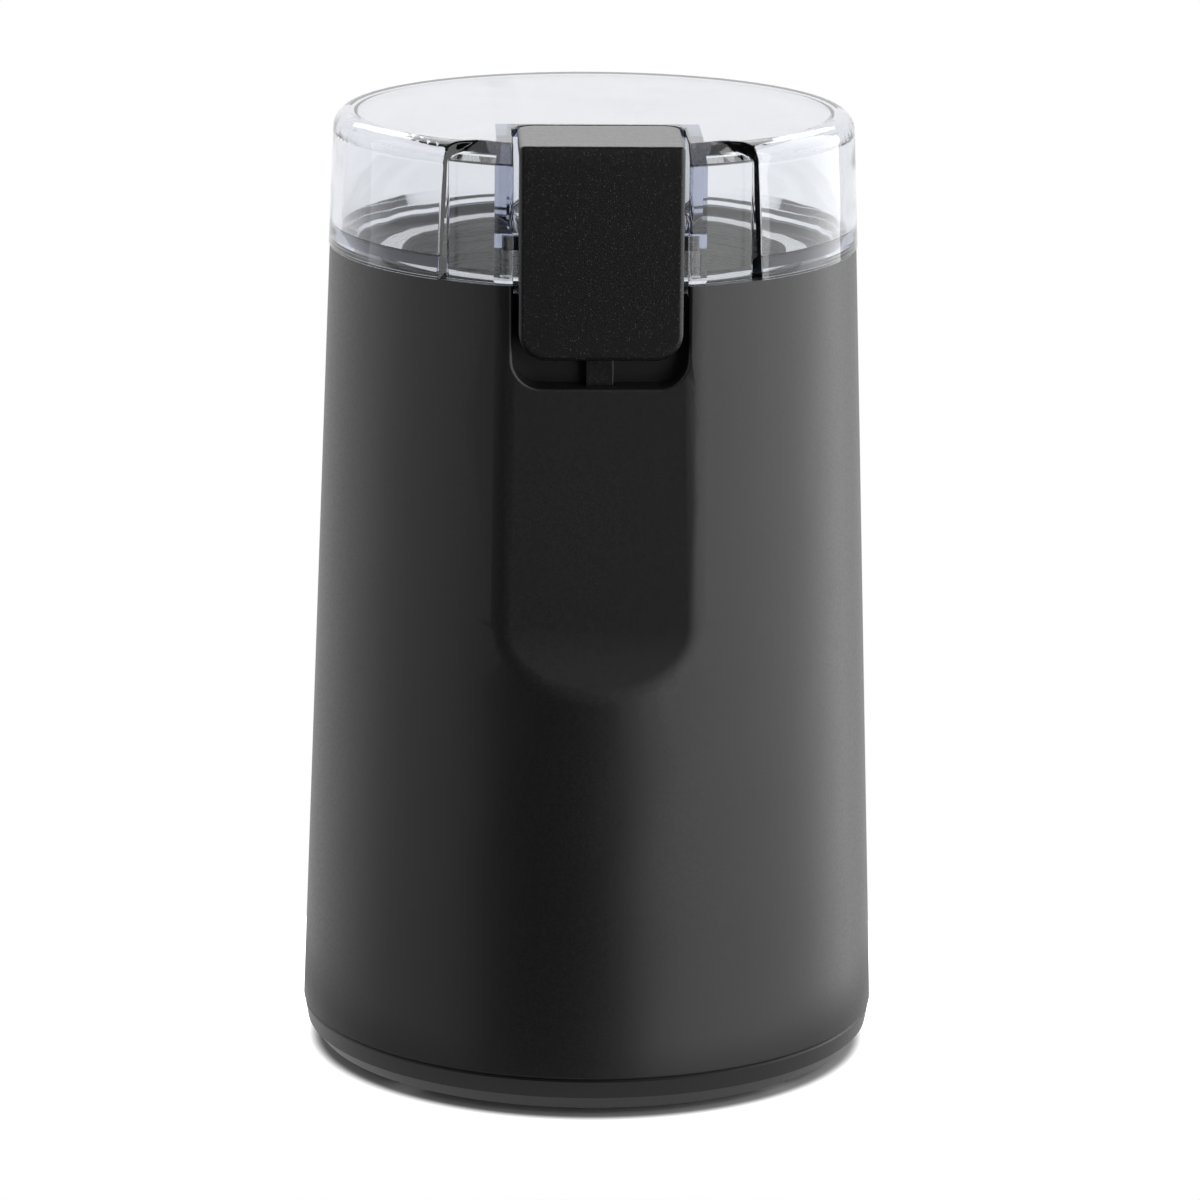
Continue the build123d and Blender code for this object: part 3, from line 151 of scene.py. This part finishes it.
# stainless steel, spun on a lathe: fine rings round the axis that draw the highlight out
bowlSteel = {"colour": "#c3c1bc",
             "ringMm": 0.5,  # usually finer, drawn coarse enough to show
             "roughness": (0.20, 0.34), "spread": (0.3, 0.7), "bump": 0.04, "depthMm": 0.05}
spunSteel, tree, shader, place = startMaterial("spunStainlessSteel", bowlSteel["colour"], Metallic=1.0,
                                               Anisotropic=0.5)
split = addNode(tree, "ShaderNodeSeparateXYZ", {"Vector": place})
flat = addNode(tree, "ShaderNodeCombineXYZ", {"X": split.outputs["X"], "Y": split.outputs["Y"]})
reach = addNode(tree, "ShaderNodeVectorMath", {0: flat.outputs["Vector"]}, operation="LENGTH")
ringPlace = addNode(tree, "ShaderNodeCombineXYZ", {"X": reach.outputs["Value"], "Z": split.outputs["Z"]})
rings = addNode(tree, "ShaderNodeTexNoise", {"Vector": ringPlace.outputs["Vector"],
                "Scale": 1000 / bowlSteel["ringMm"], "Detail": 2.0})
dressSurface(tree, shader, rings.outputs["Fac"], bowlSteel)
along = addNode(tree, "ShaderNodeTangent", direction_type="RADIAL", axis="Z")
tree.links.new(along.outputs["Tangent"], shader.inputs["Tangent"])

# stainless strip, blanked and ground: straight grinding lines along the blade
bladeSteel = {"colour": "#cbcac6", "stretch": (0.04, 1.0, 1.0),
              "lineMm": 0.25,  # usually finer, drawn coarse enough to show
              "roughness": (0.16, 0.32), "spread": (0.3, 0.7), "bump": 0.10, "depthMm": 0.04}
groundSteel, tree, shader, place = startMaterial("groundStainlessSteel", bladeSteel["colour"], Metallic=1.0)
stretch = addNode(tree, "ShaderNodeMapping", {"Vector": place, "Scale": bladeSteel["stretch"]})
lines = addNode(tree, "ShaderNodeTexNoise", {"Vector": stretch.outputs["Vector"],
                "Scale": 1000 / bladeSteel["lineMm"], "Detail": 2.0})
dressSurface(tree, shader, lines.outputs["Fac"], bladeSteel)

# steel, zinc plated: pale blue-grey with a cloudy spangle
zincPlate = {"tones": ("#a9adb2", "#c2c4c6"), "cloudMm": 1.2, "roughness": (0.28, 0.48), "bump": 0.05,
             "depthMm": 0.05}
zincSteel, tree, shader, place = startMaterial("zincPlatedSteel", zincPlate["tones"][0], Metallic=1.0)
cloud = addNode(tree, "ShaderNodeTexNoise", {"Vector": place, "Scale": 1000 / zincPlate["cloudMm"],
                "Detail": 4.0})
dressSurface(tree, shader, cloud.outputs["Fac"], zincPlate)

# nitrile rubber, compression moulded: dull black with a dusty bloom
footRubber = {"tones": ("#161616", "#262625"),
              "grainMm": 0.5,  # usually finer, drawn coarse enough to show
              "roughness": (0.65, 0.85), "bump": 0.2, "depthMm": 0.1}
mouldedRubber, tree, shader, place = startMaterial("mouldedNitrileRubber", footRubber["tones"][0], IOR=1.52)
grain = addNode(tree, "ShaderNodeTexNoise", {"Vector": place, "Scale": 1000 / footRubber["grainMm"],
                "Detail": 4.0})
dressSurface(tree, shader, grain.outputs["Fac"], footRubber)

# brass, turned: warm yellow with turning rings round the shaft
turnedBrass = {"tones": ("#a98546", "#c8a45a"), "stretch": (0.1, 0.1, 1.0),
               "ringMm": 0.4,  # usually finer, drawn coarse enough to show
               "roughness": (0.24, 0.42), "bump": 0.06, "depthMm": 0.05}
brass, tree, shader, place = startMaterial("turnedBrass", turnedBrass["tones"][1], Metallic=1.0)
stretch = addNode(tree, "ShaderNodeMapping", {"Vector": place, "Scale": turnedBrass["stretch"]})
rings = addNode(tree, "ShaderNodeTexNoise", {"Vector": stretch.outputs["Vector"],
                "Scale": 1000 / turnedBrass["ringMm"], "Detail": 3.0})
dressSurface(tree, shader, rings.outputs["Fac"], turnedBrass)

# copper wire, enamelled and wound: rows of round wire, each strand with its own highlight, partly from the bump
# and partly a painted highlight, with painted shade between one strand and the next
waveSpan = 314  # mm from band to band in a wave texture of scale 1
coilCopper = {"tones": ("#4f2413", "#a5562c"),
              "strandMm": 0.6,  # usually finer, drawn coarse enough to show
              "roughness": (0.45, 0.25), "bump": 0.6, "depthMm": 0.2}
woundCopper, tree, shader, place = startMaterial("enamelledWoundCopper", coilCopper["tones"][1], Metallic=0.7)
strandsWithPaintedShade = addNode(tree, "ShaderNodeTexWave", {"Vector": place, "Scale": waveSpan / coilCopper["strandMm"],
                  "Distortion": 0.6, "Detail": 1.0}, bands_direction="Z")
# the tint across each strand is painted shade and painted highlight; roughness and bump follow the same bands
dressSurface(tree, shader, strandsWithPaintedShade.outputs["Fac"], coilCopper)

# aluminium, die cast: soft grey, slightly mottled, never quite smooth
castAluminium = {"tones": ("#a3a4a5", "#b9b9b8"), "mottleMm": 1.5, "roughness": (0.35, 0.57), "bump": 0.12,
                 "depthMm": 0.1}
dieCast, tree, shader, place = startMaterial("dieCastAluminium", castAluminium["tones"][0], Metallic=1.0)
mottle = addNode(tree, "ShaderNodeTexNoise", {"Vector": place, "Scale": 1000 / castAluminium["mottleMm"],
                 "Detail": 5.0})
dressSurface(tree, shader, mottle.outputs["Fac"], castAluminium)

# phenolic, compression moulded with wood flour: dark brown with short pale fibres
brownPhenolic = {"tones": ("#2c1d15", "#4a3425"), "fibreMm": 0.8, "stretch": (1.0, 0.3, 1.0),
                 "fibresShow": (0.5, 0.75), "roughness": (0.34, 0.52), "bump": 0.06, "depthMm": 0.1}
phenolic, tree, shader, place = startMaterial("mouldedPhenolic", brownPhenolic["tones"][0], IOR=1.6)
stretch = addNode(tree, "ShaderNodeMapping", {"Vector": place, "Scale": brownPhenolic["stretch"]})
fibres = addNode(tree, "ShaderNodeTexNoise", {"Vector": stretch.outputs["Vector"],
                 "Scale": 1000 / brownPhenolic["fibreMm"], "Detail": 4.0})
shown = addNode(tree, "ShaderNodeMapRange", {"Value": fibres.outputs["Fac"],
                "From Min": brownPhenolic["fibresShow"][0], "From Max": brownPhenolic["fibresShow"][1]})
dressSurface(tree, shader, fibres.outputs["Fac"], brownPhenolic, tintBy=shown.outputs["Result"])

# electrical steel, punched and stacked: 0.5 mm sheets that show as fine lines round the stack
steelStack = {"tones": ("#3d3f42", "#6f7276"), "sheetMm": 0.5, "roughness": (0.57, 0.37), "bump": 0.35,
              "depthMm": 0.1}
laminations, tree, shader, place = startMaterial("stackedElectricalSteel", steelStack["tones"][1], Metallic=1.0)
sheets = addNode(tree, "ShaderNodeTexWave", {"Vector": place, "Scale": waveSpan / steelStack["sheetMm"],
                 "Distortion": 0.3}, bands_direction="Z")
dressSurface(tree, shader, sheets.outputs["Fac"], steelStack)

# electrographite, pressed: dark grey with a faint metallic dust
brushCarbon = {"tones": ("#2a2a2b", "#4d4d4e"),
               "dustMm": 0.3,  # usually finer, drawn coarse enough to show
               "roughness": (0.45, 0.65), "bump": 0.1, "depthMm": 0.1}
pressedCarbon, tree, shader, place = startMaterial("pressedElectrographite", brushCarbon["tones"][0], IOR=1.8)
dust = addNode(tree, "ShaderNodeTexNoise", {"Vector": place, "Scale": 1000 / brushCarbon["dustMm"],
               "Detail": 3.0})
dressSurface(tree, shader, dust.outputs["Fac"], brushCarbon)

# acetal, moulded: milky white and waxy, light goes a little way in
whiteAcetal = {"tones": ("#dcdad2", "#cfcabd"), "cloudMm": 4, "roughness": (0.28, 0.44), "bump": 0.04,
               "depthMm": 0.1, "lightRadius": (0.001, 0.001, 0.0008)}
acetal, tree, shader, place = startMaterial("mouldedAcetal", whiteAcetal["tones"][0], IOR=1.48,
                                            Subsurface_Weight=0.1, Subsurface_Radius=whiteAcetal["lightRadius"])
cloud = addNode(tree, "ShaderNodeTexNoise", {"Vector": place, "Scale": 1000 / whiteAcetal["cloudMm"],
                "Detail": 3.0})
dressSurface(tree, shader, cloud.outputs["Fac"], whiteAcetal)
print("materials made")

# which finish each piece has
finishes = {
    "outer_shell": satinAbs, "base_cover": satinAbs, "bowl_carrier": satinAbs, "bowl_bush": satinAbs,
    "blade_hub": satinAbs, "press_key": speckledAbs, "lid": clearLid,
    "grinding_bowl": spunSteel, "blade": groundSteel, "blade_nut": spunSteel, "motor_shaft": spunSteel,
    "rubber_feet": mouldedRubber, "cord_gland": mouldedRubber, "bowl_seal": mouldedRubber,
    "shaft_seal": mouldedRubber, "motor_dampers": mouldedRubber,
    "base_screws": zincSteel, "carrier_screws": zincSteel, "damper_screws": zincSteel,
    "motor_bolts": zincSteel, "motor_nuts": zincSteel, "switch_screws": zincSteel,
    "plunger_spring": zincSteel, "brush_springs": zincSteel,
    "bush_nut": brass, "brush_holders": brass, "switch_terminals": brass, "upper_bearing": brass,
    "lower_bearing": brass, "commutator": brass,
    "upper_bracket": dieCast, "lower_bracket": phenolic, "switch_body": phenolic,
    "stator_core": laminations, "armature_core": laminations,
    "field_coils": woundCopper, "armature_winding": woundCopper,
    "carbon_brushes": pressedCarbon, "switch_plunger": acetal, "cooling_fan": acetal,
}
for name, material in finishes.items():
    mesh = nodes[name].data
    mesh.materials.clear()
    mesh.materials.append(material)
print("finishes set on", len(finishes), "pieces")

# moulded and spun skins: seams joined, so that the shading runs on round the turned faces
skin = {"joinMm": 0.002, "sharpDegrees": 28}
for name in ("outer_shell", "base_cover", "press_key", "lid", "grinding_bowl"):
    join = nodes[name].modifiers.new("joinSeams", "WELD")
    join.merge_threshold = skin["joinMm"] / 1000
    crease = nodes[name].modifiers.new("keepEdges", "EDGE_SPLIT")
    crease.split_angle = radians(skin["sharpDegrees"])
    crease.use_edge_sharp = False
    nodes[name].modifiers.new("evenShading", "WEIGHTED_NORMAL")
print("seams joined")

# switch spring, wound again here in place of the packed piece
springCoil = {"wireMm": 0.5, "turns": 5, "stepsPerTurn": 28, "sides": 10, "travelMm": 4.0}
low, high = (Vector(corner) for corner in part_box("plunger_spring"))
wireRadius = springCoil["wireMm"] / 1000 / 2
coilRadius = (high.x - low.x) / 2 - wireRadius
axisX, axisY = (low.x + high.x) / 2, (low.y + high.y) / 2
springLength = high.z - low.z
rise = springLength - 2 * wireRadius
steps = springCoil["turns"] * springCoil["stepsPerTurn"]
coil = bmesh.new()
loops = []
for i in range(steps + 1):
    turn = 2 * pi * i / springCoil["stepsPerTurn"]
    outward = Vector((cos(turn), sin(turn), 0))
    middle = Vector((axisX, axisY, low.z + wireRadius + rise * i / steps)) + outward * coilRadius
    loops.append([])
    for k in range(springCoil["sides"]):
        around = 2 * pi * k / springCoil["sides"]
        spoke = outward * cos(around) + Vector((0, 0, 1)) * sin(around)
        loops[-1].append(coil.verts.new(middle + spoke * wireRadius))
for first, second in zip(loops, loops[1:]):
    for k in range(springCoil["sides"]):
        j = (k + 1) % springCoil["sides"]
        coil.faces.new((first[k], second[k], second[j], first[j]))
coil.faces.new(loops[0])
coil.faces.new(loops[-1][::-1])
bmesh.ops.recalc_face_normals(coil, faces=coil.faces)
for face in coil.faces:
    face.smooth = len(face.verts) == 4  # the two end caps stay flat
coilMesh = bpy.data.meshes.new("switchSpring")
coil.to_mesh(coilMesh)
coil.free()
switchSpring = bpy.data.objects.new("switchSpring", coilMesh)
scene.collection.objects.link(switchSpring)
coilMesh.materials.append(zincSteel)
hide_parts("plunger_spring")
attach(switchSpring, "housing")
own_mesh(switchSpring)
print("switch spring wound,", len(coilMesh.polygons), "faces")

# floor, white paper that keeps a soft shadow close round the base, partly rendered and partly painted shadow:
# there the paper is greyer and doesn't glow
floorLook = {"radius": 0.082, "sides": 96, "tones": ("#b0b0b0", "#f2f2f2"), "glow": "#ffffff", "roughness": 0.9,
             "shadowFrom": 0.0450, "shadowTo": 0.0482}
bpy.ops.mesh.primitive_circle_add(vertices=floorLook["sides"], radius=floorLook["radius"], fill_type="NGON")
floor = bpy.context.object
floor.name = "floor"
paper, tree, shader, place = startMaterial("whitePaper", floorLook["tones"][1], Roughness=floorLook["roughness"],
                                           Emission_Color=hexToLinear(floorLook["glow"]))
reach = addNode(tree, "ShaderNodeVectorMath", {0: place}, operation="LENGTH")
# painted shadow: within shadowTo of the middle the paper's colour greys and its glow fades, whatever the lamps do
clear = addNode(tree, "ShaderNodeMapRange", {"Value": reach.outputs["Value"],
                "From Min": floorLook["shadowFrom"], "From Max": floorLook["shadowTo"]},
                interpolation_type="SMOOTHSTEP")
paintedShadowTone = addNode(tree, "ShaderNodeMix", {"Factor": clear.outputs["Result"], "A": hexToLinear(floorLook["tones"][0]),
               "B": hexToLinear(floorLook["tones"][1])}, data_type="RGBA")
tree.links.new(paintedShadowTone.outputs["Result"], shader.inputs["Base Color"])
# outside the painted shadow the paper is plain white to the camera
rays = addNode(tree, "ShaderNodeLightPath")
seen = addNode(tree, "ShaderNodeMath", {0: rays.outputs["Is Camera Ray"],
               1: rays.outputs["Is Transmission Ray"]}, operation="MAXIMUM")
glow = addNode(tree, "ShaderNodeMath", {0: seen.outputs["Value"], 1: clear.outputs["Result"]},
               operation="MULTIPLY")
tree.links.new(glow.outputs["Value"], shader.inputs["Emission Strength"])
# painted reflection: what the plastic mirrors is a glow set here, not the lit paper: pale next to the base,
# darker further out, and both paler behind
paintedReflectionLook = {"nearFront": 0.55, "nearBehind": 1.2, "nearFrom": 0.056, "nearTo": 0.066, "front": 0.03,
              "behind": 0.6, "turnFrom": -0.04, "turnTo": 0.03}
split = addNode(tree, "ShaderNodeSeparateXYZ", {"Vector": place})
near = addNode(tree, "ShaderNodeMapRange", {"Value": split.outputs["Y"], "From Min": paintedReflectionLook["turnFrom"],
               "From Max": paintedReflectionLook["turnTo"], "To Min": paintedReflectionLook["nearFront"],
               "To Max": paintedReflectionLook["nearBehind"]}, interpolation_type="SMOOTHSTEP")
far = addNode(tree, "ShaderNodeMapRange", {"Value": split.outputs["Y"], "From Min": paintedReflectionLook["turnFrom"],
              "From Max": paintedReflectionLook["turnTo"], "To Min": paintedReflectionLook["front"], "To Max": paintedReflectionLook["behind"]},
              interpolation_type="SMOOTHSTEP")
away = addNode(tree, "ShaderNodeMapRange", {"Value": reach.outputs["Value"], "From Min": paintedReflectionLook["nearFrom"],
               "From Max": paintedReflectionLook["nearTo"]}, interpolation_type="SMOOTHSTEP")
paintedReflectionLevel = addNode(tree, "ShaderNodeMix", {"Factor": away.outputs["Result"], "A": near.outputs["Result"],
                      "B": far.outputs["Result"]})
paintedReflection = addNode(tree, "ShaderNodeEmission", {"Strength": paintedReflectionLevel.outputs["Result"]})
# glossy rays see the painted reflection's glow in place of the paper
upper = addNode(tree, "ShaderNodeMixShader", {0: rays.outputs["Is Glossy Ray"], 1: shader.outputs["BSDF"],
                2: paintedReflection.outputs["Emission"]})
# seen from below the paper is clear, so the feet and vents can be looked at
side = addNode(tree, "ShaderNodeNewGeometry")
clearSide = addNode(tree, "ShaderNodeBsdfTransparent")
sheet = addNode(tree, "ShaderNodeMixShader", {0: side.outputs["Backfacing"], 1: upper.outputs["Shader"],
                2: clearSide.outputs["BSDF"]})
tree.links.new(sheet.outputs["Shader"], tree.nodes["Material Output"].inputs["Surface"])
floor.data.materials.append(paper)

# studio: white backdrop behind, dim room in front
room = {"colour": "#ffffff", "behind": 1.0, "front": 0.03, "turnFrom": 0.1, "turnTo": 0.6, "throughLid": 0.3}
world = bpy.data.worlds.new("studio")
scene.world = world
world.use_nodes = True
tree = world.node_tree
heading = addNode(tree, "ShaderNodeTexCoord")
split = addNode(tree, "ShaderNodeSeparateXYZ", {"Vector": heading.outputs["Generated"]})
depth = addNode(tree, "ShaderNodeMapRange", {"Value": split.outputs["Y"], "From Min": room["turnFrom"],
                "From Max": room["turnTo"], "To Min": room["front"], "To Max": room["behind"]},
                interpolation_type="SMOOTHSTEP")
rays = addNode(tree, "ShaderNodeLightPath")
seen = addNode(tree, "ShaderNodeMath", {0: rays.outputs["Is Camera Ray"],
               1: rays.outputs["Is Transmission Ray"]}, operation="MAXIMUM")
# light that came through the lid before still finds a pale room
bent = addNode(tree, "ShaderNodeMath", {0: rays.outputs["Transmission Depth"], 1: room["throughLid"]},
               operation="MULTIPLY")
pale = addNode(tree, "ShaderNodeMath", {0: bent.outputs["Value"], 1: room["throughLid"]}, operation="MINIMUM")
atLeast = addNode(tree, "ShaderNodeMath", {0: seen.outputs["Value"], 1: pale.outputs["Value"]},
                  operation="MAXIMUM")
level = addNode(tree, "ShaderNodeMath", {0: depth.outputs["Result"], 1: atLeast.outputs["Value"]},
                operation="MAXIMUM")
tree.links.new(level.outputs["Value"], tree.nodes["Background"].inputs["Strength"])
tree.nodes["Background"].inputs["Color"].default_value = hexToLinear(room["colour"])

# soft boxes, angles in degrees round the object from the camera side
softBoxes = [
    {"name": "keyBox", "azimuth": 49, "elevation": 12, "distance": 1.5, "size": (1.86, 2.0), "level": 2.0},
    {"name": "sideBox", "azimuth": 105, "elevation": 12, "distance": 1.5, "size": (1.7, 2.0), "level": 1.85},
    {"name": "fillBox", "azimuth": -79, "elevation": 12, "distance": 1.5, "size": (2.2, 2.0), "level": 0.69},
    {"name": "topBox", "azimuth": 180, "elevation": 45, "distance": 1.6, "size": (1.8, 1.2), "level": 2.3},
]
lampAim = Vector((0, 0, 0.08))
for box in softBoxes:
    lamp = bpy.data.lights.new(box["name"], "AREA")
    lamp.shape = "RECTANGLE"
    lamp.size, lamp.size_y = box["size"]
    lamp.energy = box["level"] * pi * lamp.size * lamp.size_y  # radiance times pi times area
    lampObject = bpy.data.objects.new(box["name"], lamp)
    scene.collection.objects.link(lampObject)
    swing = Quaternion((0, 0, 1), radians(box["azimuth"])) @ Quaternion((1, 0, 0), radians(-box["elevation"]))
    lampObject.location = lampAim + swing @ Vector((0, -box["distance"], 0))
    lampObject.rotation_euler = (lampAim - lampObject.location).to_track_quat("-Z", "Y").to_euler()
    lampObject.visible_transmission = False  # no lamp shows through the lid
print("studio set,", len(softBoxes), "soft boxes")

# camera from the fitted view of the photograph
view = {"place": (-0.0298, -0.92262, 0.30337), "aim": (0.00166, 0.0, 0.0753), "roll": 0.516, "lens": 170.66,
        "sensor": 36, "nearest": 0.01}
camera = bpy.data.cameras.new("photoCamera")
camera.lens = view["lens"]
camera.sensor_width = view["sensor"]
camera.sensor_fit = "HORIZONTAL"
camera.clip_start = view["nearest"]
cameraObject = bpy.data.objects.new("photoCamera", camera)
scene.collection.objects.link(cameraObject)
cameraObject.location = view["place"]
look = (Vector(view["aim"]) - Vector(view["place"])).to_track_quat("-Z", "Y")
cameraObject.rotation_euler = (look @ Quaternion((0, 0, 1), radians(view["roll"]))).to_euler()
scene.camera = cameraObject
scene.view_settings.view_transform = "Standard"

print("scene ready")
